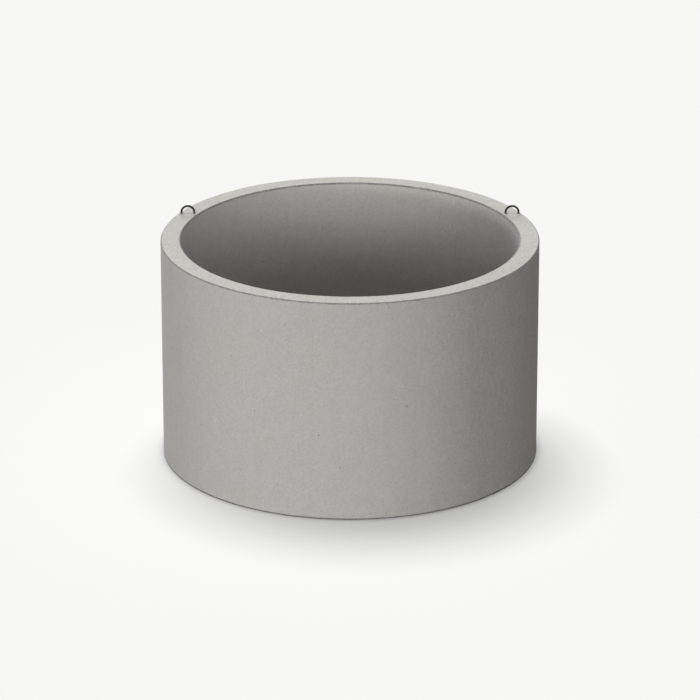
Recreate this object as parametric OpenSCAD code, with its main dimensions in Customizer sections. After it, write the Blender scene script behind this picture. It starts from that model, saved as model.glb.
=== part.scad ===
// Precast concrete manhole ring: a plain wall ring for a round shaft, with two
// lifting loops of round steel bar cast into its top face.
//
// Origin: centre of the lower bearing face. +Z is up the shaft. The loops stand
// on the +Y half of the rim, mirrored about the YZ plane.

/* [Ring] */
// Inside diameter of the shaft
inner_d = 1500; // [700:10:2000]
// Wall thickness
wall_t = 90; // [80:5:150]
// Height between the two bearing faces
ring_h = 1000; // [300:10:1200]
// Chamfer on each of the four arrises
arris = 4; // [1:0.5:6]

/* [Lifting loops] */
// Bar diameter
bar_d = 10; // [8:1:14]
// Distance between the centrelines of a loop's two legs
leg_gap = 58; // [50:1:60]
// Height of the loop's crown above the top face, measured to the outside of the bar
crown_h = 40; // [38:1:90]
// Depth that each leg is cast into the wall
leg_cast = 200; // [100:10:280]
// Angle of each loop behind the ring's left-right axis
loop_angle = 24; // [18:1:27]
// Concrete cover between a loop's outer leg and the outside of the wall
loop_cover = 10; // [9:1:12]

/* [Hidden] */

inner_r = inner_d / 2;
outer_r = inner_r + wall_t;

// A loop lies in a plane parallel to XZ, with its legs at loop_x -/+ bend_r.
bend_r = leg_gap / 2;
bar_r = bar_d / 2;
crown_z = ring_h + crown_h - bar_r;       // centreline of the bar at the crown
bend_z = crown_z - bend_r;                // where the straight legs end
leg_foot_z = ring_h - leg_cast;           // lower ends of the cast-in legs

// The outer leg sits loop_cover inside the wall's outside face. The loop's
// centre is taken on the ray at loop_angle, as far out as that allows.
leg_r = outer_r - loop_cover - bar_r;
loop_c = -bend_r * cos(loop_angle)
    + sqrt(pow(bend_r * cos(loop_angle), 2) + leg_r * leg_r - bend_r * bend_r);
loop_x = loop_c * cos(loop_angle);
loop_y = loop_c * sin(loop_angle);

// Half-section of the wall, with its four chamfered arrises
module wall_section() {
    polygon([
        [inner_r + arris, 0],
        [outer_r - arris, 0],
        [outer_r, arris],
        [outer_r, ring_h - arris],
        [outer_r - arris, ring_h],
        [inner_r + arris, ring_h],
        [inner_r, ring_h - arris],
        [inner_r, arris]
    ]);
}

// One straight leg, from its cast-in foot up to height top_z
module leg(side, top_z) {
    translate([side * bend_r, 0, leg_foot_z])
        cylinder(h = top_z - leg_foot_z, r = bar_r, $fn = 48);
}

// The bent bar: two straight legs and a half-round crown, in the XZ plane
module loop_bar() {
    union() {
        leg(-1, bend_z);
        leg(1, bend_z);
        translate([0, 0, bend_z])
            rotate([90, 0, 0])
                rotate_extrude(angle = 180, $fn = 96)
                    translate([bend_r, 0])
                        circle(r = bar_r, $fn = 48);
    }
}

// side is -1 for the left loop and 1 for the right one
module place_loop(side) {
    translate([side * loop_x, loop_y, 0]) children();
}

// The concrete fills the space round each cast-in leg
module concrete_ring() {
    color([0.69, 0.685, 0.67])
        difference() {
            rotate_extrude($fn = 256) wall_section();
            for (side = [-1, 1])
                place_loop(side) {
                    leg(-1, ring_h + 1);
                    leg(1, ring_h + 1);
                }
        }
}

module lifting_loop_left() {
    color([0.2, 0.2, 0.19]) place_loop(-1) loop_bar();
}

module lifting_loop_right() {
    color([0.2, 0.2, 0.19]) place_loop(1) loop_bar();
}

concrete_ring();
lifting_loop_left();
lifting_loop_right();
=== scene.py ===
import math

import bpy
import numpy as np
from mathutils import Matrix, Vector
from mathutils.geometry import delaunay_2d_cdt


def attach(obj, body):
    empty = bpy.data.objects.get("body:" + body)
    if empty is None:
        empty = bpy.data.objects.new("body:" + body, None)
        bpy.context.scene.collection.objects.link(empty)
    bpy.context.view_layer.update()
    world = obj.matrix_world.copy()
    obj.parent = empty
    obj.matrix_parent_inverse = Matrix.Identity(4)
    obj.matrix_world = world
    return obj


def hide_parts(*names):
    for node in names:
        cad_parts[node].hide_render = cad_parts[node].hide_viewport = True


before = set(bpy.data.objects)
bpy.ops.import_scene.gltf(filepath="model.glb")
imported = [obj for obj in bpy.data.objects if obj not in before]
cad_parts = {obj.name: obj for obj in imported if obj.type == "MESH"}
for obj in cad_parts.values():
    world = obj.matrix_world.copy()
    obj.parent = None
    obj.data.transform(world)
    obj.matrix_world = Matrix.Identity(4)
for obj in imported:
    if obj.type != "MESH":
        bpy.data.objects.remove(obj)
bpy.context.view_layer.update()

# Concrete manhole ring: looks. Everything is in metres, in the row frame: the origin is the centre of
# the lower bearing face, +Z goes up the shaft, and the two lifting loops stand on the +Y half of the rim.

TAU = 2 * math.pi
MM = 0.001
rng = np.random.default_rng(41)


def coords(name):
    """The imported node's vertices, as an array."""
    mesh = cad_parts[name].data
    found = np.empty(len(mesh.vertices) * 3)
    mesh.vertices.foreach_get("co", found)
    return found.reshape(-1, 3)


# ---------------------------------------------------------------- sizes, read from the frame
ring_co = coords("concrete_ring")
ring_r = np.hypot(ring_co[:, 0], ring_co[:, 1])
R_OUT, R_IN = float(ring_r.max()), float(ring_r.min())
Z0, Z1 = float(ring_co[:, 2].min()), float(ring_co[:, 2].max())
WALL, HIGH = R_OUT - R_IN, Z1 - Z0
R_MID = (R_OUT + R_IN) / 2


def loop_sizes(name):
    """Of one lifting loop: the middle of its plane, its bar's radius, its bend's radius, and the heights of its feet and of its crown's centreline."""
    lo, hi = coords(name).min(0), coords(name).max(0)
    bar = (hi[1] - lo[1]) / 2
    return {
        "x": (lo[0] + hi[0]) / 2,
        "y": (lo[1] + hi[1]) / 2,
        "bar": bar,
        "bend": (hi[0] - lo[0]) / 2 - bar,
        "foot": lo[2],
        "crown": hi[2] - bar,
    }


LOOPS = {n: loop_sizes(n) for n in ("lifting_loop_left", "lifting_loop_right")}


# ---------------------------------------------------------------- noise for shapes, the same on each run
def hashed(ix, iy, iz, seed):
    """A number from 0 to 1 for each lattice point."""
    h = (
        ix.astype(np.uint64) * np.uint64(73856093)
        ^ iy.astype(np.uint64) * np.uint64(19349663)
        ^ iz.astype(np.uint64) * np.uint64(83492791)
        ^ np.uint64(seed * 2654435761 % (1 << 32))
    ) & np.uint64(0xFFFFFFFF)
    for a, b in ((16, 0x45D9F3B), (16, 0x45D9F3B)):
        h = ((h ^ (h >> np.uint64(a))) * np.uint64(b)) & np.uint64(0xFFFFFFFF)
    h ^= h >> np.uint64(16)
    return h.astype(float) / 4294967295.0


def lumps(p, size, seed, octaves=1):
    """Smooth noise from -1 to 1 at the points p, with lumps about `size` metres across."""
    total, weight, share = np.zeros(len(p)), 0.0, 1.0
    for k in range(octaves):
        q = p * (2**k / size) + 1000.0
        cell = np.floor(q).astype(np.int64)
        f = q - cell
        f = f * f * f * (f * (f * 6 - 15) + 10)
        out = np.zeros(len(p))
        for dx in (0, 1):
            for dy in (0, 1):
                for dz in (0, 1):
                    w = (
                        (f[:, 0] if dx else 1 - f[:, 0])
                        * (f[:, 1] if dy else 1 - f[:, 1])
                        * (f[:, 2] if dz else 1 - f[:, 2])
                    )
                    out += w * hashed(
                        cell[:, 0] + dx, cell[:, 1] + dy, cell[:, 2] + dz, seed + k
                    )
        total += share * (out * 2 - 1)
        weight += share
        share *= 0.5
    return total / weight


# ---------------------------------------------------------------- the ring's surface, unrolled
# u runs round the ring, measured on the outside radius, and v runs round the wall's section: from the
# middle of the lower face outwards, up the outside, in over the rim, down the bore and back.
ROUND = TAU * R_OUT
GIRTH = 2 * (WALL + HIGH)
CORNER_V = np.array([WALL / 2, WALL / 2 + HIGH, WALL * 1.5 + HIGH, WALL * 1.5 + 2 * HIGH])
CORNER_P = np.array([[R_OUT, Z0], [R_OUT, Z1], [R_IN, Z1], [R_IN, Z0]])
ALONG = np.array([[1, 0], [0, 1], [-1, 0], [0, -1], [1, 0]], float)
OUTWARD = np.array([[0, -1], [1, 0], [0, 1], [-1, 0], [0, -1]], float)
ARRIS = 5.0 * MM  # the eased arris reaches this far from the corner, as the CAD chamfer does
BAND = 9.0 * MM  # and its rows of points this far
TILES = 8
TILE_W = ROUND / TILES


def radius_at(v):
    """Radius of the section at v, arrises apart."""
    i = np.searchsorted(CORNER_V, v)
    start = np.where(i == 0, CORNER_V[0], CORNER_V[np.maximum(i - 1, 0)])
    p = CORNER_P[np.maximum(i - 1, 0)]
    return p[:, 0] + ALONG[i][:, 0] * (v - start)


def cut_at(theta, corner):
    """Size of the eased arris, which wanders a little along the edge as a struck or moulded one does."""
    ring = np.stack([np.cos(theta), np.sin(theta), np.full_like(theta, corner * 3.7)], 1)
    return ARRIS * (
        1 + 0.13 * lumps(ring, 0.16, 11 + corner) + 0.10 * lumps(ring, 0.035, 31 + corner)
    )


def section(theta, v):
    """The section's point (radius, height) at v, with its four eased arrises."""
    i = np.searchsorted(CORNER_V, v)
    start = np.where(i == 0, CORNER_V[0], CORNER_V[np.maximum(i - 1, 0)])
    out = CORNER_P[np.maximum(i - 1, 0)] + ALONG[i] * (v - start)[:, None]
    for j in range(4):
        s = v - CORNER_V[j]
        near = np.abs(s) < BAND - 1e-9
        if not near.any():
            continue
        sn = s[near]
        cut = cut_at(theta[near], j)
        size = np.abs(sn)
        eff = np.where(
            size <= ARRIS,
            size / ARRIS * cut,
            cut + (size - ARRIS) * (BAND - cut) / (BAND - ARRIS),
        ) * np.sign(sn)
        phi = np.clip((eff / cut + 1) / 2, 0, 1) * (math.pi / 2)
        power = 2 / 1.5
        a = cut * (1 - np.sin(phi) ** power)
        b = cut * (1 - np.cos(phi) ** power)
        a = np.where(eff < -cut, -eff, a)
        b = np.where(eff > cut, eff, b)
        out[near] = (
            CORNER_P[j] - ALONG[j] * a[:, None] + ALONG[j + 1] * b[:, None]
        )
    return out


def smooth01(x):
    x = np.clip(x, 0, 1)
    return x * x * (3 - 2 * x)


def inward(theta, rz):
    """How far the cast faces lie inside their true size, as (radius, height) offsets: a steel mould's slight flats and waves, and a rim struck off by hand."""
    r, z = rz[:, 0], rz[:, 1]
    at = np.stack([np.cos(theta), np.sin(theta), z], 1)
    outer = (
        0.30 * (1 + lumps(at * [1, 1, 0.45], 0.70, 51))
        + 0.14 * (1 + lumps(at * [1, 1, 0.6], 0.20, 52))
        + 0.03 * (1 + lumps(at, 0.060, 53))
    ) * MM
    inner = (
        0.30 * (1 + lumps(at * [1, 1, 0.45], 0.60, 61))
        + 0.14 * (1 + lumps(at * [1, 1, 0.6], 0.18, 62))
        + 0.03 * (1 + lumps(at, 0.060, 63))
    ) * MM
    flat = np.stack([r * np.cos(theta), r * np.sin(theta), 0 * r], 1)
    struck = (
        0.16 * (1 + lumps(flat, 0.16, 71)) + 0.10 * (1 + lumps(flat, 0.045, 72))
    ) * MM
    side = smooth01((r - R_MID) / (WALL * 0.36))
    bore = smooth01((R_MID - r) / (WALL * 0.36))
    rim = smooth01((z - (Z1 - 0.03)) / 0.03)
    return np.stack([-outer * side + inner * bore, -struck * rim], 1)


# ---------------------------------------------------------------- what is cut into it
def apart(found, u, v, clear):
    """Whether (u, v) is at least clear away from each of found, which holds (u, v, radius)."""
    return all(
        math.hypot((u - a + ROUND / 2) % ROUND - ROUND / 2, v - b) > clear + c
        for a, b, c in found
    )


# The sockets that the loops' legs are cast into: (u, v, x, y) on the top face.
SOCKETS = []
for it in LOOPS.values():
    for side in (-1, 1):
        x, y = it["x"] + side * it["bend"], it["y"]
        SOCKETS.append(
            {
                "u": math.atan2(y, x) % TAU * R_OUT,
                "v": CORNER_V[1] + R_OUT - math.hypot(x, y),
                "x": x,
                "y": y,
                "bar": it["bar"],
                "foot": it["foot"],
            }
        )

taken = [(s["u"], s["v"], 12 * MM) for s in SOCKETS]

# Air holes left by the cast, each one an irregular pit: on the outside, in the bore and on the rim.
PITS = []


def scatter(number, low, high, sizes, crowd, seed):
    """Puts pits with their middles between v = low and high. sizes are the smallest and largest radius, and crowd how much they gather in loose groups."""
    own = np.random.default_rng(seed)
    tries = made = 0
    while made < number and tries < 60 * number:
        tries += 1
        u, v = own.uniform(0, ROUND), own.uniform(low, high)
        size = sizes[0] + (sizes[1] - sizes[0]) * own.random() ** 3.8
        group = lumps(
            np.array([[math.cos(u / R_OUT), math.sin(u / R_OUT), v]]), 0.22, seed
        )[0]
        keep = own.random()
        if keep > 0.5 + crowd * group:
            continue
        edge = min(u % TILE_W, TILE_W - u % TILE_W)
        if edge < size * 2.2 + 2 * MM or not apart(taken, u, v, size * 2.4):
            continue
        taken.append((u, v, size * 2.4))
        PITS.append(
            {
                "u": u,
                "v": v,
                "size": size,
                "deep": size * own.uniform(0.55, 1.05),
                "long": own.uniform(0.78, 1.0),
                "turn": own.uniform(0, math.pi),
                "shape": own.uniform(-1, 1, 6),
            }
        )
        made += 1


EDGE = 26 * MM
scatter(330, CORNER_V[0] + EDGE, CORNER_V[1] - EDGE, (0.9 * MM, 3.8 * MM), 0.30, 101)
scatter(210, CORNER_V[2] + EDGE, CORNER_V[3] - EDGE, (0.9 * MM, 3.6 * MM), 0.30, 102)
scatter(40, CORNER_V[1] + 18 * MM, CORNER_V[2] - 18 * MM, (0.9 * MM, 2.0 * MM), 0.3, 103)

# Small bites broken out of the arrises in handling: most on the outside edges.
CHIPS = []
own = np.random.default_rng(104)
for corner, number, biggest in ((0, 22, 13), (1, 20, 9), (2, 14, 8), (3, 12, 11)):
    spots, tries = [], 0
    while len(spots) < number and tries < 4000:
        tries += 1
        u = own.uniform(0, ROUND)
        half = (2.6 + (biggest - 2.6) * own.random() ** 2.4) * MM
        edge = min(u % TILE_W, TILE_W - u % TILE_W)
        near = [s for s in SOCKETS if abs((u - s["u"] + ROUND / 2) % ROUND - ROUND / 2) < 0.05]
        if edge < half + 8 * MM or (near and corner in (1, 2)):
            continue
        if any(abs((u - a + ROUND / 2) % ROUND - ROUND / 2) < half + b + 14 * MM for a, b in spots):
            continue
        spots.append((u, half))
        CHIPS.append(
            {
                "corner": corner,
                "u": u,
                "half": half,
                "back": half * own.uniform(0.42, 0.75),
                "on": half * own.uniform(0.42, 0.75),
                "deep": min(half * own.uniform(0.20, 0.34), 3.2 * MM),
                "shape": own.uniform(-1, 1, 6),
            }
        )


def wobble(angle, shape):
    """An outline's radius by angle, near 1."""
    return (
        1
        + 0.10 * shape[0] * np.cos(2 * angle + 3 * shape[1])
        + 0.08 * shape[2] * np.cos(3 * angle + 3 * shape[3])
        + 0.05 * shape[4] * np.cos(5 * angle + 3 * shape[5])
    )


# ---------------------------------------------------------------- points, tile by tile
ROW_S = np.array([-5.0, -2.6, 0.0, 2.6, 5.0]) * MM


def wall_rows(a, b, step):
    n = max(2, int(round((b - a) / step)))
    return list(np.linspace(a, b, n + 1))


column_v = [0.0]
column_v += wall_rows(0.014, CORNER_V[0] - 20 * MM, 13 * MM)
for j in range(4):
    column_v += [CORNER_V[j] - BAND] + list(CORNER_V[j] + ROW_S) + [CORNER_V[j] + BAND]
    if j < 3:
        step = 13 * MM if j == 1 else 22 * MM
        column_v += wall_rows(CORNER_V[j] + 20 * MM, CORNER_V[j + 1] - 20 * MM, step)
column_v += wall_rows(CORNER_V[3] + 20 * MM, GIRTH - 0.014, 13 * MM)
column_v = np.array(column_v)  # and GIRTH, which is 0 again

vert_u, vert_v, vert_deep, vert_push = [], [], [], []
vert_fixed, vert_pit, vert_chip = {}, [], []


def add(u, v, deep=0.0, push=0.0, pit=0.0, chip=0.0, fixed=None):
    """A vertex of the ring: deep is below its face along the face's normal, push is below an arris along its bisector."""
    vert_u.append(u)
    vert_v.append(v)
    vert_deep.append(deep)
    vert_push.append(push)
    vert_pit.append(pit)
    vert_chip.append(chip)
    if fixed is not None:
        vert_fixed[len(vert_u) - 1] = fixed
    return len(vert_u) - 1


columns = [[add(k * TILE_W, v) for v in column_v] for k in range(TILES)]
edge_u = np.linspace(0, TILE_W, int(TILE_W / 0.014) + 1)[1:-1]
foot_rows = [[add(k * TILE_W + u, 0.0) for u in edge_u] for k in range(TILES)]

faces, face_uv = [], []  # vertex triples, and the (tile, u, v) of each corner


def inside_any(u, v, holes):
    return any(
        ((u - h[0]) / h[2]) ** 2 + ((v - h[1]) / h[3]) ** 2 < 1 for h in holes
    )


for k in range(TILES):
    u0 = k * TILE_W
    own = np.random.default_rng(200 + k)
    ids, lu, lv, edges = [], [], [], []

    def put(u, v, vertex):
        ids.append(vertex)
        lu.append(u)
        lv.append(v)
        return len(ids) - 1

    def chain(found, closed=False):
        edges.extend(zip(found, found[1:] + (found[:1] if closed else [])))

    # the tile's border
    left = [put(0.0, v, columns[k][i]) for i, v in enumerate(column_v)]
    left.append(put(0.0, GIRTH, columns[k][0]))
    right = [put(TILE_W, v, columns[(k + 1) % TILES][i]) for i, v in enumerate(column_v)]
    right.append(put(TILE_W, GIRTH, columns[(k + 1) % TILES][0]))
    low = [put(u, 0.0, foot_rows[k][i]) for i, u in enumerate(edge_u)]
    high = [put(u, GIRTH, foot_rows[k][i]) for i, u in enumerate(edge_u)]
    chain([left[0]] + low + [right[0]])
    chain([left[-1]] + high + [right[-1]])
    chain(left)
    chain(right)

    pits = [p for p in PITS if u0 < p["u"] < u0 + TILE_W]
    chips = [c for c in CHIPS if u0 < c["u"] < u0 + TILE_W]
    sockets = [s for s in SOCKETS if u0 < s["u"] < u0 + TILE_W]
    holes = []

    # sockets: a small crater round the bar, the socket's wall and its end
    for s in sockets:
        rings = []
        for domain, radius, height in (
            (13.0, 9.5, 0.0),
            (9.0, 7.0, 0.0),
            (7.0, 5.9, -0.5),
            (5.4, 5.06, -1.5),
            (3.6, 5.06, None),
        ):
            ring = []
            for j in range(28):
                t = TAU * j / 28
                rough = 1 + (0.10 * math.sin(2 * t + 1.3) + 0.06 * math.sin(5 * t)) * (
                    5.5 < radius < 9
                )
                scale = R_OUT / math.hypot(s["x"], s["y"])
                # the domain's own axes: u runs along the tangent, v towards the axis
                phi = math.atan2(s["y"], s["x"])
                du = (-math.sin(phi) * math.cos(t) + math.cos(phi) * math.sin(t))
                dv = -(math.cos(phi) * math.cos(t) + math.sin(phi) * math.sin(t))
                u = s["u"] - u0 + domain * 0.92 * MM * du * scale
                v = s["v"] + domain * 0.92 * MM * dv
                x = s["x"] + radius * rough * MM * math.cos(t)
                y = s["y"] + radius * rough * MM * math.sin(t)
                if height == 0.0 and radius > 9:
                    fixed = (x, y, "face")
                elif height is None:
                    fixed = (x, y, s["foot"] - 0.06 * MM)
                elif height == 0.0:
                    fixed = (x, y, "face")
                else:
                    fixed = (x, y, Z1 + height * MM)
                # how dark the socket's crater and wall are made: partly dirt, partly painted shade in the hollow
                pit_shade_and_dirt = 0.0 if radius > 9 else 0.35 if height == 0.0 else 0.8
                ring.append(put(u, v, add(u0 + u, v, pit=pit_shade_and_dirt, fixed=fixed)))
            rings.append(ring)
            chain(ring, closed=True)
        put(
            s["u"] - u0,
            s["v"],
            add(s["u"], s["v"], pit=0.8, fixed=(s["x"], s["y"], s["foot"] - 0.06 * MM)),
        )
        holes.append((s["u"] - u0, s["v"], 16 * MM, 16 * MM))

    # air holes
    for p in pits:
        stretch = R_OUT / float(radius_at(np.array([p["v"]]))[0])
        n = 8 if p["size"] < 2 * MM else 10 if p["size"] < 3.5 * MM else 14
        ct, st = math.cos(p["turn"]), math.sin(p["turn"])
        # the last number of each row darkens the pit: partly dirt, partly painted shade in the hollow
        for share, deep, pit_shade_and_dirt in ((1.75, 0, 0), (1.0, 0, 0.15), (0.86, 0.62, 0.75), (0.5, 0.95, 1.0)):
            ring = []
            for j in range(n):
                t = TAU * (j + 0.5 * (share == 0.5)) / n
                reach = p["size"] * share * (wobble(t, p["shape"]) if share < 1.2 else 1)
                a, b = reach * math.cos(t), reach * p["long"] * math.sin(t)
                u = p["u"] - u0 + (a * ct - b * st) * stretch
                v = p["v"] + a * st + b * ct
                ring.append(
                    put(u, v, add(u0 + u, v, deep=p["deep"] * deep, pit=pit_shade_and_dirt))
                )
            if share in (1.0, 0.86):
                chain(ring, closed=True)
        put(p["u"] - u0, p["v"], add(p["u"], p["v"], deep=p["deep"], pit=1.0))
        holes.append(
            (p["u"] - u0, p["v"], p["size"] * 2.1 * stretch, p["size"] * 2.1)
        )

    # chips
    mid_rows = {j: [] for j in range(4)}
    for c in chips:
        stretch = R_OUT / CORNER_P[c["corner"]][0]
        cu, cv = c["u"] - u0, CORNER_V[c["corner"]]
        outline = []
        n = max(10, int(TAU * c["half"] / (2.4 * MM)) // 2 * 2)
        for j in range(n):
            t = TAU * j / n
            flat = j in (0, n // 2)
            w = 1.0 if flat else float(wobble(t, c["shape"]))
            a = c["half"] * math.cos(t) * w * stretch
            b = (c["on"] if math.sin(t) > 0 else c["back"]) * math.sin(t) * w
            b = 0.0 if flat else b
            vertex = put(cu + a, cv + b, add(u0 + cu + a, cv + b, chip=0.5))
            outline.append(vertex)
            if flat:
                mid_rows[c["corner"]].append((cu + a, vertex))
        chain(outline, closed=True)
        step = 1.9 * MM
        for b in np.arange(-math.ceil(c["back"] / step), math.ceil(c["on"] / step) + 1) * step:
            for a in np.arange(-math.ceil(c["half"] / step), math.ceil(c["half"] / step) + 1) * step:
                ja, jb = own.uniform(-0.32, 0.32, 2) * step
                aa, bb = a + ja, (b + jb if abs(b) > 1e-9 else 0.0)
                side = c["on"] if bb > 0 else c["back"]
                t = math.atan2(bb / side, aa / c["half"])
                reach = math.hypot(aa / c["half"], bb / side) / float(wobble(t, c["shape"]))
                if reach > 0.86:
                    continue
                rough = own.uniform(0.72, 1.18)
                push = c["deep"] * (1 - reach**2.2) ** 0.75 * rough
                vertex = put(
                    cu + aa * stretch,
                    cv + bb,
                    add(u0 + cu + aa * stretch, cv + bb, push=push, chip=1.0),
                )
                if bb == 0.0:
                    mid_rows[c["corner"]].append((cu + aa * stretch, vertex))
        holes.append((cu, cv + (c["on"] - c["back"]) / 2, (c["half"] + 1.2 * MM) * stretch, (c["on"] + c["back"]) / 2 + 1.2 * MM))

    # rows of points along the arrises
    for j in range(4):
        for s, step in [(x, 6 * MM) for x in ROW_S] + [(-BAND, 9 * MM), (BAND, 9 * MM)]:
            n = int(round(TILE_W / step))
            for i in range(1, n):
                u, v = TILE_W * i / n, CORNER_V[j] + s
                if inside_any(u, v, [h for h in holes if abs(h[1] - v) < 0.03]):
                    continue
                vertex = put(u, v, add(u0 + u, v))
                if s == 0.0:
                    mid_rows[j].append((u, vertex))
        ordered = [i for _, i in sorted(mid_rows[j])]
        row = list(column_v).index(CORNER_V[j])
        chain([left[row]] + ordered + [right[row]])
        for side in (-1, 1):
            v = CORNER_V[j] + side * 20 * MM
            n = int(round(TILE_W / (14 * MM)))
            for i in range(1, n):
                u = TILE_W * i / n
                if not inside_any(u, v, [h for h in holes if abs(h[1] - v) < 0.03]):
                    put(u, v, add(u0 + u, v))

    # the faces between, on a loose triangular grid
    for a, b, step in (
        (0.0, CORNER_V[0] - 20 * MM, 13 * MM),
        (CORNER_V[0] + 20 * MM, CORNER_V[1] - 20 * MM, 22 * MM),
        (CORNER_V[1] + 20 * MM, CORNER_V[2] - 20 * MM, 13 * MM),
        (CORNER_V[2] + 20 * MM, CORNER_V[3] - 20 * MM, 22 * MM),
        (CORNER_V[3] + 20 * MM, GIRTH, 13 * MM),
    ):
        lines = int(round((b - a) / (step * 0.866)))
        for i in range(1, lines):
            v = a + (b - a) * i / lines
            n = int(round(TILE_W / step))
            for m in range(n):
                u = TILE_W * (m + (0.5 if i % 2 else 0.0)) / n
                if u < step * 0.4 or u > TILE_W - step * 0.4:
                    continue
                du, dv = own.uniform(-0.16, 0.16, 2) * step
                if inside_any(u + du, v + dv, [h for h in holes if abs(h[1] - v) < 0.04]):
                    continue
                put(u + du, v + dv, add(u0 + u + du, v + dv))

    out_v, _, out_f, origin, _, _ = delaunay_2d_cdt(
        [Vector((a, b)) for a, b in zip(lu, lv)], edges, [], 0, 1e-7, True
    )
    if len(out_v) != len(ids) or any(len(o) != 1 for o in origin):
        raise RuntimeError(f"tile {k}: {len(ids)} points went in and {len(out_v)} came out")
    order = [o[0] for o in origin]
    for f in out_f:
        local = [order[i] for i in f]
        faces.append([ids[i] for i in local])
        face_uv.append([(k, lu[i], lv[i]) for i in local])

# ---------------------------------------------------------------- from the unrolled surface to the ring
U, V = np.array(vert_u), np.array(vert_v)
theta = U / R_OUT
rz = section(theta, V)
rz = rz + inward(theta, rz)
face_of = np.searchsorted(CORNER_V, V)
rz -= OUTWARD[face_of] * np.array(vert_deep)[:, None]
push = np.array(vert_push)
for j in range(4):
    near = (np.abs(V - CORNER_V[j]) < 20 * MM) & (push > 0)
    bisector = -(OUTWARD[j] + OUTWARD[j + 1]) / math.sqrt(2)
    rz[near] += bisector * push[near][:, None]
co = np.stack([rz[:, 0] * np.cos(theta), rz[:, 0] * np.sin(theta), rz[:, 1]], 1)
for i, (x, y, z) in vert_fixed.items():
    if z == "face":
        r, t = math.hypot(x, y), math.atan2(y, x)
        z = Z1 + inward(np.array([t]), np.array([[r, Z1]]))[0, 1]
    co[i] = (x, y, z)

mesh = bpy.data.meshes.new("ring_cast")
tri = np.array(faces, np.int32)
mesh.vertices.add(len(co))
mesh.vertices.foreach_set("co", co.astype(np.float32).ravel())
mesh.loops.add(len(tri) * 3)
mesh.loops.foreach_set("vertex_index", tri.ravel())
mesh.polygons.add(len(tri))
mesh.polygons.foreach_set("loop_start", np.arange(0, len(tri) * 3, 3, dtype=np.int32))
mesh.update(calc_edges=True)
mesh.validate()
for name, values in (("pit", vert_pit), ("chip", vert_chip)):
    mesh.attributes.new(name, "FLOAT", "POINT").data.foreach_set(
        "value", np.array(values, np.float32)
    )

# A map of the unrolled faces, so that a bake has even detail: the outside and the bore in three rows of
# tiles, and the two bearing faces in strips above them.
GAP = 0.016
SCALE_IN, SCALE_TOP, SCALE_LOW = R_IN / R_OUT, R_MID / R_OUT, 0.5
place = {}
x = y = 0.0
for k in range(5):
    place["out", k] = (x, y)
    x += TILE_W
wide = x
x, y = 0.0, y + HIGH + GAP
for k in range(5, 8):
    place["out", k] = (x, y)
    x += TILE_W
x += GAP
for k in range(2):
    place["in", k] = (x, y)
    x += TILE_W * SCALE_IN
wide = max(wide, x)
x, y = 0.0, y + HIGH + GAP
for k in range(2, 8):
    place["in", k] = (x, y)
    x += TILE_W * SCALE_IN
wide = max(wide, x)
x, y = 0.0, y + HIGH + GAP
for k in range(5):
    place["top", k] = (x, y)
    x += TILE_W * SCALE_TOP
x, y = 0.0, y + WALL + GAP
for k in range(5, 8):
    place["top", k] = (x, y)
    x += TILE_W * SCALE_TOP
x += GAP
for k in range(4):
    place["low", k] = (x, y)
    x += TILE_W * SCALE_LOW
x, y = 0.0, y + WALL + GAP
for k in range(4, 8):
    place["low", k] = (x, y)
    x += TILE_W * SCALE_LOW
tall = y + WALL
flat_map = np.empty((len(tri) * 3, 2), np.float32)
for i, corners in enumerate(face_uv):
    k = corners[0][0]
    mid = sum(c[2] for c in corners) / 3
    if mid < CORNER_V[0] or mid > CORNER_V[3]:
        kind, scale, start = "low", SCALE_LOW, CORNER_V[3]
    elif mid < CORNER_V[1]:
        kind, scale, start = "out", 1.0, CORNER_V[0]
    elif mid < CORNER_V[2]:
        kind, scale, start = "top", SCALE_TOP, CORNER_V[1]
    else:
        kind, scale, start = "in", SCALE_IN, CORNER_V[2]
    px, py = place[kind, k]
    for c, (_, u, v) in enumerate(corners):
        v = v - start if v >= start - 1e-9 else v - start + GIRTH
        flat_map[i * 3 + c] = (
            (px + u * scale + GAP / 2) / (wide + GAP),
            (py + v + GAP / 2) / (tall + GAP),
        )
layer = mesh.uv_layers.new(name="OFBake")
layer.data.foreach_set("uv", flat_map.ravel())

mesh.polygons.foreach_set("use_smooth", np.ones(len(tri), bool))
mesh.set_sharp_from_angle(angle=math.radians(38))
cast = bpy.data.objects.new("ring_cast", mesh)
bpy.context.scene.collection.objects.link(cast)


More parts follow.
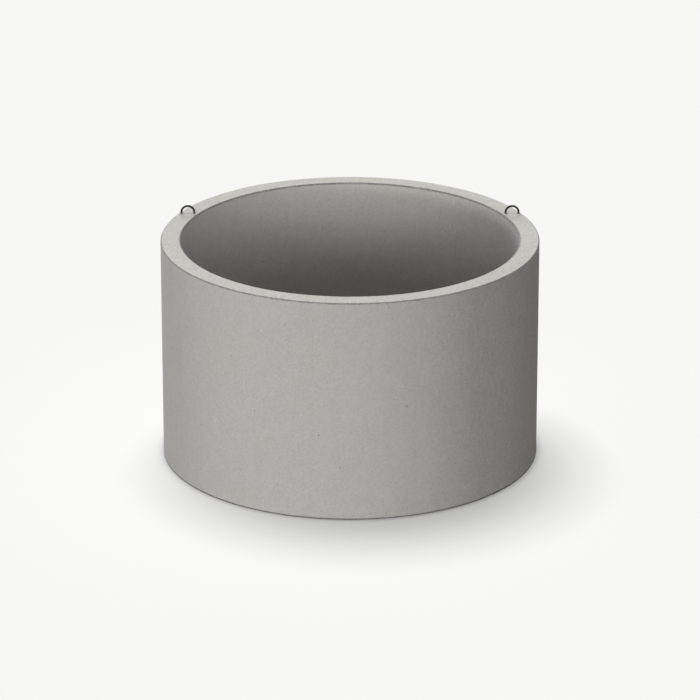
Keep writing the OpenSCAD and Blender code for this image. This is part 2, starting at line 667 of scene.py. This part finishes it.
# ---------------------------------------------------------------- the lifting loops
def loop_mesh(name, it, seed):
    """A bent round bar: legs down to their cast-in ends and a half-round crown, with the slight flattening of a cold bend and a rolled bar's small unevenness."""
    bar, bend = it["bar"], it["bend"]
    straight = it["crown"] - bend  # height where the legs end
    path = []  # (point, direction, bend share)
    for z in (it["foot"], it["foot"] + 1.2 * MM, it["foot"] + 60 * MM, Z1 - 60 * MM, Z1 - 12 * MM):
        path.append((np.array([-bend, 0, z]), np.array([0, 0, 1.0]), 0.0))
    for z in np.arange(Z1 - 8 * MM, straight - 0.5 * MM, 2 * MM):
        path.append((np.array([-bend, 0, z]), np.array([0, 0, 1.0]), 0.0))
    turns = 64
    for i in range(turns + 1):
        a = math.pi - math.pi * i / turns
        path.append(
            (
                np.array([bend * math.cos(a), 0, straight + bend * math.sin(a)]),
                np.array([math.sin(a), 0, -math.cos(a)]),
                smooth01(np.array(min(i, turns - i) / 8.0)).item(),
            )
        )
    n_in = len(path) - turns - 1
    for i in reversed(range(n_in)):
        p = path[i][0]
        path.append((np.array([bend, 0, p[2]]), np.array([0, 0, -1.0]), 0.0))
    around = 28
    verts, faces_, uvs = [], [], []
    lengths = np.cumsum([0] + [np.linalg.norm(b[0] - a[0]) for a, b in zip(path, path[1:])])
    side = np.array([0.0, 1.0, 0.0])
    for i, (p, d, bent) in enumerate(path):
        radial = np.cross(side, d)  # points away from the eye's middle on the crown
        end = 0.55 if i in (0, len(path) - 1) else 1.0
        for j in range(around):
            t = TAU * j / around
            q = p + radial * bar * math.cos(t) + side * bar * math.sin(t)
            rough = lumps(q[None] * [1, 1, 1] + seed, 0.006, seed)[0] * 0.05
            rough += lumps(q[None] + seed, 0.022, seed + 9)[0] * 0.05
            a = bar * (1 - 0.035 * bent) * end - (0.10 - rough) * MM * (p[2] > Z1 - 2 * MM)
            b = bar * end - (0.10 - rough) * MM * (p[2] > Z1 - 2 * MM)
            verts.append(p + radial * a * math.cos(t) + side * b * math.sin(t))
    m = len(path)
    for i in range(m - 1):
        for j in range(around):
            k = (j + 1) % around
            faces_.append((i * around + j, i * around + k, (i + 1) * around + k, (i + 1) * around + j))
    start, stop = len(verts), len(verts) + 1
    verts += [path[0][0], path[-1][0]]
    for j in range(around):
        k = (j + 1) % around
        faces_.append((start, k, j))
        faces_.append((stop, (m - 1) * around + j, (m - 1) * around + k))
    verts = np.array(verts) + [it["x"], it["y"], 0]
    me = bpy.data.meshes.new(name)
    me.from_pydata([tuple(x) for x in verts], [], faces_)
    me.update(calc_edges=True)
    # The map gives the part that shows most of the room, and the cast-in legs a strip at its side.
    show = [i for i, (p, _, _) in enumerate(path) if p[2] > Z1 - 13 * MM]
    first, last = lengths[show[0]], lengths[show[-1]]
    uv = me.uv_layers.new(name="OFBake")
    for poly in me.polygons:
        corners = [me.loops[i].vertex_index for i in poly.loop_indices]
        js = [c % around for c in corners if c < m * around]
        wraps = max(js) - min(js) > around // 2
        rows = [c // around for c in corners if c < m * around]
        hidden = min(rows) < show[0] or max(rows) > show[-1]
        low_leg = max(rows) < m // 2
        for i, c in zip(poly.loop_indices, corners):
            if c >= m * around:
                uv.data[i].uv = (0.97, 0.02 if low_leg else 0.98)
                continue
            row, j = divmod(c, around)
            j = around if wraps and j == 0 else j
            if hidden:
                s = lengths[row] / lengths[-1]
                uv.data[i].uv = (0.83 + 0.13 * j / around, 0.01 + 0.98 * s)
            else:
                s = (lengths[row] - first) / (last - first)
                uv.data[i].uv = (0.01 + 0.78 * j / around, 0.01 + 0.98 * s)
    me.polygons.foreach_set("use_smooth", np.ones(len(me.polygons), bool))
    me.set_sharp_from_angle(angle=math.radians(50))
    ob = bpy.data.objects.new(name, me)
    bpy.context.scene.collection.objects.link(ob)
    return ob


bars = {
    "loop_bar_left": loop_mesh("loop_bar_left", LOOPS["lifting_loop_left"], 5),
    "loop_bar_right": loop_mesh("loop_bar_right", LOOPS["lifting_loop_right"], 6),
}


# ---------------------------------------------------------------- materials
class Tree:
    """Short names for the few kinds of node that the materials use."""

    def __init__(self, name):
        self.material = bpy.data.materials.new(name)
        self.material.use_nodes = True
        self.nt = self.material.node_tree
        self.nt.nodes.clear()
        self.out = self.node("ShaderNodeOutputMaterial")
        self.shader = self.node("ShaderNodeBsdfPrincipled")
        self.link(self.shader.outputs[0], self.out.inputs[0])
        self.at = self.node("ShaderNodeTexCoord").outputs["Object"]

    def node(self, kind):
        return self.nt.nodes.new(kind)

    def link(self, a, b):
        self.nt.links.new(a, b)

    def feed(self, value, socket):
        if isinstance(value, bpy.types.NodeSocket):
            self.link(value, socket)
        else:
            socket.default_value = value

    def maths(self, operation, a, b=0.0, c=None, clamp=False):
        n = self.node("ShaderNodeMath")
        n.operation, n.use_clamp = operation, clamp
        self.feed(a, n.inputs[0])
        self.feed(b, n.inputs[1])
        if c is not None:
            self.feed(c, n.inputs[2])
        return n.outputs[0]

    def stretch(self, scale):
        n = self.node("ShaderNodeVectorMath")
        n.operation = "MULTIPLY"
        self.link(self.at, n.inputs[0])
        n.inputs[1].default_value = scale
        return n.outputs[0]

    def shifted(self, offset):
        n = self.node("ShaderNodeVectorMath")
        n.operation = "ADD"
        self.link(self.at, n.inputs[0])
        n.inputs[1].default_value = offset
        return n.outputs[0]

    def warped(self, offset, scale, by):
        """Shifted coordinates, pushed about by noise so that round spots turn out uneven."""
        n = self.node("ShaderNodeTexNoise")
        n.inputs["Scale"].default_value = scale
        n.inputs["Detail"].default_value = 1.0
        self.link(self.at, n.inputs["Vector"])
        out = self.node("ShaderNodeVectorMath")
        out.operation = "MULTIPLY_ADD"
        self.link(n.outputs["Color"], out.inputs[0])
        out.inputs[1].default_value = (by, by, by)
        self.link(self.shifted(offset), out.inputs[2])
        return out.outputs[0]

    def noise(self, scale, detail=2.0, roughness=0.5, at=None):
        """Noise spread to about -1 to 1."""
        n = self.node("ShaderNodeTexNoise")
        n.inputs["Scale"].default_value = scale
        n.inputs["Detail"].default_value = detail
        n.inputs["Roughness"].default_value = roughness
        self.link(at or self.at, n.inputs["Vector"])
        return self.maths("MULTIPLY_ADD", n.outputs["Fac"], 4.0, -2.0)

    def spots(self, scale, share, small, large, soft, at=None):
        """Round spots scattered in cells 1/scale metres wide: share of the cells has one, from small to large cells in radius. 1 inside a spot."""
        n = self.node("ShaderNodeTexVoronoi")
        n.inputs["Scale"].default_value = scale
        self.link(at or self.at, n.inputs["Vector"])
        split = self.node("ShaderNodeSeparateColor")
        self.link(n.outputs["Color"], split.inputs[0])
        radius = self.maths("MULTIPLY_ADD", split.outputs[1], large - small, small)
        edge = self.maths("SUBTRACT", radius, n.outputs["Distance"])
        spot = self.maths("DIVIDE", edge, soft, clamp=True)
        chosen = self.maths("LESS_THAN", split.outputs[0], share)
        return self.maths("MULTIPLY", spot, chosen)

    def ramp(self, value, low, high, to_low=0.0, to_high=1.0):
        n = self.node("ShaderNodeMapRange")
        n.interpolation_type = "SMOOTHSTEP"
        self.feed(value, n.inputs["Value"])
        for name, number in (
            ("From Min", low),
            ("From Max", high),
            ("To Min", to_low),
            ("To Max", to_high),
        ):
            self.feed(number, n.inputs[name])
        return n.outputs[0]

    def attribute(self, name):
        n = self.node("ShaderNodeAttribute")
        n.attribute_name = name
        return n.outputs["Fac"]

    def mix(self, share, a, b):
        n = self.node("ShaderNodeMix")
        n.data_type = "RGBA"
        self.feed(share, n.inputs["Factor"])
        self.feed(a, n.inputs[6])
        self.feed(b, n.inputs[7])
        return n.outputs[2]

    def scaled(self, colour, by):
        n = self.node("ShaderNodeVectorMath")
        n.operation = "SCALE"
        self.feed(colour, n.inputs[0])
        self.feed(by, n.inputs["Scale"])
        return n.outputs[0]

    def bump(self, height_mm, strength=1.0):
        n = self.node("ShaderNodeBump")
        n.inputs["Distance"].default_value = MM
        n.inputs["Strength"].default_value = strength
        self.feed(height_mm, n.inputs["Height"])
        self.link(n.outputs[0], self.shader.inputs["Normal"])


def sum_of(t, first, *terms):
    """first plus the sum of weight times value."""
    total = first
    for value, weight in terms:
        total = t.maths("MULTIPLY_ADD", value, weight, total)
    return total


def concrete():
    t = Tree("concrete")
    split = t.node("ShaderNodeSeparateXYZ")
    t.link(t.at, split.inputs[0])
    x, y, z = split.outputs
    r = t.maths("SQRT", t.maths("MULTIPLY_ADD", x, x, t.maths("MULTIPLY", y, y)))
    below_rim = t.maths("SUBTRACT", Z1, z)
    above_foot = t.maths("SUBTRACT", z, Z0)
    from_side = t.maths("SUBTRACT", R_OUT, r)
    from_bore = t.maths("SUBTRACT", r, R_IN)

    def away(a, b):
        return t.maths(
            "SQRT", t.maths("MULTIPLY_ADD", a, a, t.maths("MULTIPLY", b, b))
        )

    across = t.maths("MINIMUM", from_side, from_bore)
    along = t.maths("MINIMUM", below_rim, above_foot)
    edge = away(across, along)  # distance from the nearest corner of the section

    # tone: each term is centred on 0
    cloud = t.noise(2.6, 3.0, 0.55)
    patch = t.noise(11.0, 4.0, 0.6, t.shifted((3.1, 1.7, 5.3)))
    blotch = t.noise(26.0, 3.0, 0.6, t.shifted((5.9, 6.1, 3.8)))
    mottle = t.noise(58.0, 3.0, 0.65, t.shifted((7.7, 2.9, 0.4)))
    grain = t.noise(132.0, 2.0, 0.6)
    fine = t.noise(520.0, 2.0, 0.65)
    runs = t.noise(1.0, 3.0, 0.55, t.stretch((26.0, 26.0, 1.5)))
    tone = sum_of(
        t,
        1.0,
        (cloud, 0.022),
        (patch, 0.022),
        (blotch, 0.020),
        (mottle, 0.062),
        (grain, 0.074),
        (fine, 0.030),
        (runs, 0.012),
    )
    # the sand shows a little more on the +X side and on the rim
    strong = t.maths("MULTIPLY_ADD", t.ramp(x, 0.15, 0.75), 0.52, 1.0)
    strong = t.maths("MAXIMUM", strong, t.ramp(below_rim, 0.0040, 0.0005, 1.0, 1.9))
    tone = t.maths("MULTIPLY_ADD", t.maths("SUBTRACT", tone, 1.0), strong, 1.0)

    # marks
    pin = t.spots(44.0, 0.30, 0.06, 0.14, 0.04)
    pin_small = t.spots(95.0, 0.50, 0.09, 0.21, 0.06, t.shifted((0.31, 0.17, 0.43)))
    fleck = t.spots(66.0, 0.30, 0.08, 0.24, 0.10, t.warped((0.83, 0.29, 0.61), 260.0, 0.009))
    marks = sum_of(t, 0.0, (pin, -0.29), (pin_small, -0.37), (fleck, 0.31))
    tone = t.maths("MULTIPLY", tone, t.maths("MULTIPLY_ADD", marks, strong, 1.0))

    # painted shade in the bore: paler near the rim and darker further down, standing in for the light that falls into
    # the shaft
    in_bore = t.ramp(r, R_IN + 0.006, R_IN + 0.002)
    painted_bore_shade = t.ramp(below_rim, 0.0, 0.50, 0.19, 0.02)
    tone = t.maths("MULTIPLY", tone, t.maths("MULTIPLY_ADD", in_bore, painted_bore_shade, 1.0))
    on_rim = t.ramp(below_rim, 0.0035, 0.0012)
    tone = t.maths("MULTIPLY", tone, t.maths("MULTIPLY_ADD", on_rim, -0.025, 1.0))

    # worn, soiled arrises: a narrow dark line that wanders and breaks, with a paler rubbed band beside it
    ragged = t.noise(95.0, 3.0, 0.65, t.shifted((1.3, 8.1, 2.2)))
    wander = t.maths("MULTIPLY_ADD", ragged, 0.0022, t.maths("MULTIPLY_ADD", fine, 0.0006, edge))
    inner_arris = t.ramp(r, R_MID + 0.001, R_MID - 0.001)  # more dirt stays on the bore's edges
    line = t.ramp(wander, t.maths("MULTIPLY_ADD", inner_arris, 0.0025, 0.0085), 0.0028)
    line = t.maths("MULTIPLY", line, t.maths("MULTIPLY_ADD", inner_arris, 0.14, 0.86))
    broken = t.ramp(t.noise(17.0, 3.0, 0.6, t.shifted((4.4, 0.6, 9.9))), -1.3, 0.3, 0.66, 1.0)
    line = t.maths("MULTIPLY", line, broken)
    line = t.maths("MULTIPLY", line, t.ramp(sum_of(t, mottle, (fine, 0.5)), -1.3, 0.5, 0.70, 1.0))
    line = t.maths("MULTIPLY", line, t.ramp(above_foot, 0.012, 0.016, 0.55, 1.0))  # cleaner at the foot
    rubbed = t.maths("MULTIPLY", t.ramp(wander, 0.030, 0.008), t.ramp(ragged, -0.4, 0.9))
    tone = t.maths("MULTIPLY", tone, sum_of(t, 1.0, (line, -0.69), (rubbed, 0.035)))

    # air holes are darker, partly dirt and partly painted shade in the hollows, and a broken arris shows rough, darker
    # stone
    pit = t.attribute("pit")
    chip = t.attribute("chip")
    tone = t.maths("MULTIPLY", tone, t.maths("MULTIPLY_ADD", pit, -0.34, 1.0))
    stones = t.spots(210.0, 0.5, 0.25, 0.5, 0.2)
    broken_tone = sum_of(t, -0.06, (stones, -0.16), (grain, 0.06))
    tone = t.maths("MULTIPLY", tone, t.maths("MULTIPLY_ADD", chip, broken_tone, 1.0))

    warm = t.ramp(t.noise(4.2, 3.0, 0.6, t.shifted((9.2, 3.3, 1.1))), -0.9, 0.9)
    colour = t.mix(warm, (0.4085, 0.4010, 0.3820, 1), (0.4130, 0.4010, 0.3770, 1))
    colour = t.mix(t.maths("MULTIPLY", on_rim, 0.7), colour, (0.4080, 0.4030, 0.3720, 1))
    t.link(t.scaled(colour, tone), t.shader.inputs["Base Color"])

    rough = sum_of(t, 0.86, (patch, 0.03), (grain, 0.03), (on_rim, -0.05), (pit, 0.08))
    t.link(t.maths("MINIMUM", rough, 1.0), t.shader.inputs["Roughness"])
    t.shader.inputs["Specular IOR Level"].default_value = 0.30

    height = sum_of(
        t,
        0.0,
        (mottle, 0.13),
        (grain, 0.11),
        (fine, 0.05),
        (patch, 0.16),
        (pin, -1.1),
        (pin_small, -0.5),
        (t.maths("MULTIPLY", chip, stones), -0.5),
    )
    t.bump(height, 0.9)
    return t.material


def loop_steel():
    t = Tree("loop_steel")
    split = t.node("ShaderNodeSeparateXYZ")
    t.link(t.at, split.inputs[0])
    z = split.outputs[2]
    scale_patch = t.noise(60.0, 3.0, 0.6)
    grain = t.noise(480.0, 2.0, 0.6)
    rolled = t.noise(1.0, 2.0, 0.5, t.stretch((420.0, 420.0, 60.0)))
    dust_noise = t.noise(130.0, 3.0, 0.6, t.shifted((2.0, 5.0, 1.0)))
    tone = sum_of(t, 1.0, (scale_patch, 0.10), (grain, 0.10), (rolled, 0.06))
    bare = t.ramp(scale_patch, 0.35, 1.1)
    colour = t.mix(bare, (0.024, 0.024, 0.022, 1), (0.038, 0.035, 0.031, 1))
    colour = t.scaled(colour, tone)
    # cement left on the bar just above the rim
    high = t.maths("SUBTRACT", z, Z1)
    splash = t.ramp(t.maths("MULTIPLY_ADD", dust_noise, -0.0035, high), 0.0065, 0.0005)
    splash = t.maths("MULTIPLY", splash, 0.62)
    colour = t.mix(splash, colour, (0.30, 0.295, 0.275, 1))
    t.link(colour, t.shader.inputs["Base Color"])
    t.link(
        sum_of(t, 0.68, (scale_patch, 0.06), (grain, 0.04), (splash, 0.22)),
        t.shader.inputs["Roughness"],
    )
    t.shader.inputs["Metallic"].default_value = 0.0
    t.shader.inputs["Specular IOR Level"].default_value = 0.06
    t.bump(sum_of(t, 0.0, (scale_patch, 0.03), (grain, 0.015), (rolled, 0.02), (splash, 0.12)), 0.8)
    return t.material


cast.data.materials.append(concrete())
steel = loop_steel()
for ob in bars.values():
    ob.data.materials.append(steel)

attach(cast, "root")
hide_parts("concrete_ring")
for name, node in (("loop_bar_left", "lifting_loop_left"), ("loop_bar_right", "lifting_loop_right")):
    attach(bars[name], "root")
    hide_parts(node)

# ---------------------------------------------------------------- floor, light and camera
floor_mesh = bpy.data.meshes.new("floor")
floor_mesh.from_pydata(
    [(-60, -60, Z0), (60, -60, Z0), (60, 60, Z0), (-60, 60, Z0)], [], [(0, 1, 2, 3)]
)
floor = bpy.data.objects.new("floor", floor_mesh)
bpy.context.scene.collection.objects.link(floor)
pale = Tree("floor_pale")
# its lamps are strong enough to show it pale, so that light thrown on it by the ring leaves no bright halo
pale.shader.inputs["Base Color"].default_value = (0.440, 0.440, 0.432, 1)
pale.shader.inputs["Roughness"].default_value = 1.0
pale.shader.inputs["Specular IOR Level"].default_value = 0.0
floor.data.materials.append(pale.material)
floor.visible_diffuse = False  # a black studio floor would light the ring no more than this

world = bpy.data.worlds.new("studio")
bpy.context.scene.world = world
world.use_nodes = True
wt = world.node_tree
wt.nodes.clear()
w_out = wt.nodes.new("ShaderNodeOutputWorld")
w_mix = wt.nodes.new("ShaderNodeMixShader")
w_light = wt.nodes.new("ShaderNodeBackground")
w_seen = wt.nodes.new("ShaderNodeBackground")
w_path = wt.nodes.new("ShaderNodeLightPath")
w_light.inputs[0].default_value = (1, 1, 1, 1)
w_light.inputs[1].default_value = 0.05
w_seen.inputs[0].default_value = (0.93, 0.93, 0.913, 1)
w_seen.inputs[1].default_value = 1.0
wt.links.new(w_path.outputs["Is Camera Ray"], w_mix.inputs[0])
wt.links.new(w_light.outputs[0], w_mix.inputs[1])
wt.links.new(w_seen.outputs[0], w_mix.inputs[2])
wt.links.new(w_mix.outputs[0], w_out.inputs[0])

ring_only = bpy.data.collections.new("lit_as_the_ring")
for ob in (cast, *bars.values()):
    ring_only.objects.link(ob)
floor_only = bpy.data.collections.new("lit_as_the_floor")
floor_only.objects.link(floor)


def lamp(name, azimuth, elevation, amount, wide, on):
    """A far soft lamp. Azimuth 0 shines from the front (-Y) and 90 from the right (+X); amount 1 lights a facing white surface to 1. The ring and the floor have lamps of their own, so that the low ones leave no long shadows."""
    data = bpy.data.lights.new(name, "SUN")
    data.energy = amount * math.pi
    data.angle = math.radians(wide)
    ob = bpy.data.objects.new(name, data)
    bpy.context.scene.collection.objects.link(ob)
    a, e = math.radians(azimuth), math.radians(elevation)
    towards = Vector((math.sin(a) * math.cos(e), -math.cos(a) * math.cos(e), math.sin(e)))
    ob.rotation_euler = towards.to_track_quat("Z", "Y").to_euler()
    ob.light_linking.receiver_collection = on
    ob.light_linking.blocker_collection = ring_only
    return ob


lamp("key", -50, 0, 0.476, 6, ring_only)
lamp("front_left", -32, 9, 0.206, 20, ring_only)
lamp("front", -5, 9, 0.148, 20, ring_only)
lamp("front_right", 25, 9, 0.240, 20, ring_only)
lamp("rear", 175, 25, 0.450, 30, ring_only)
lamp("rear_left", -160, 25, 0.578, 30, ring_only)
lamp("overhead", 0, 90, 0.624, 50, ring_only)
lamp("floor_overhead", 0, 90, 0.889, 4, floor_only)
lamp("floor_rear_left", -163, 74, 1.214, 34, floor_only)

camera_data = bpy.data.cameras.new("camera")
camera = bpy.data.objects.new("camera", camera_data)
bpy.context.scene.collection.objects.link(camera)
bpy.context.scene.camera = camera
AWAY, ELEVATION, AIM_Z = 20.0, 20.97, 0.466
camera_data.sensor_width = 36.0
camera_data.lens = 4469.0 * 36.0 / 700.0
e = math.radians(ELEVATION)
back = Vector((0, -math.cos(e), math.sin(e)))
camera.location = Vector((0, 0, AIM_Z)) + back * AWAY
camera.rotation_euler = (-back).to_track_quat("-Z", "Y").to_euler()
camera_data.clip_start, camera_data.clip_end = 0.1, 300.0

bpy.context.scene.view_settings.view_transform = "Standard"
bpy.context.scene.view_settings.look = "None"
bpy.context.scene.view_settings.exposure = 0.0
bpy.context.scene.view_settings.gamma = 1.0
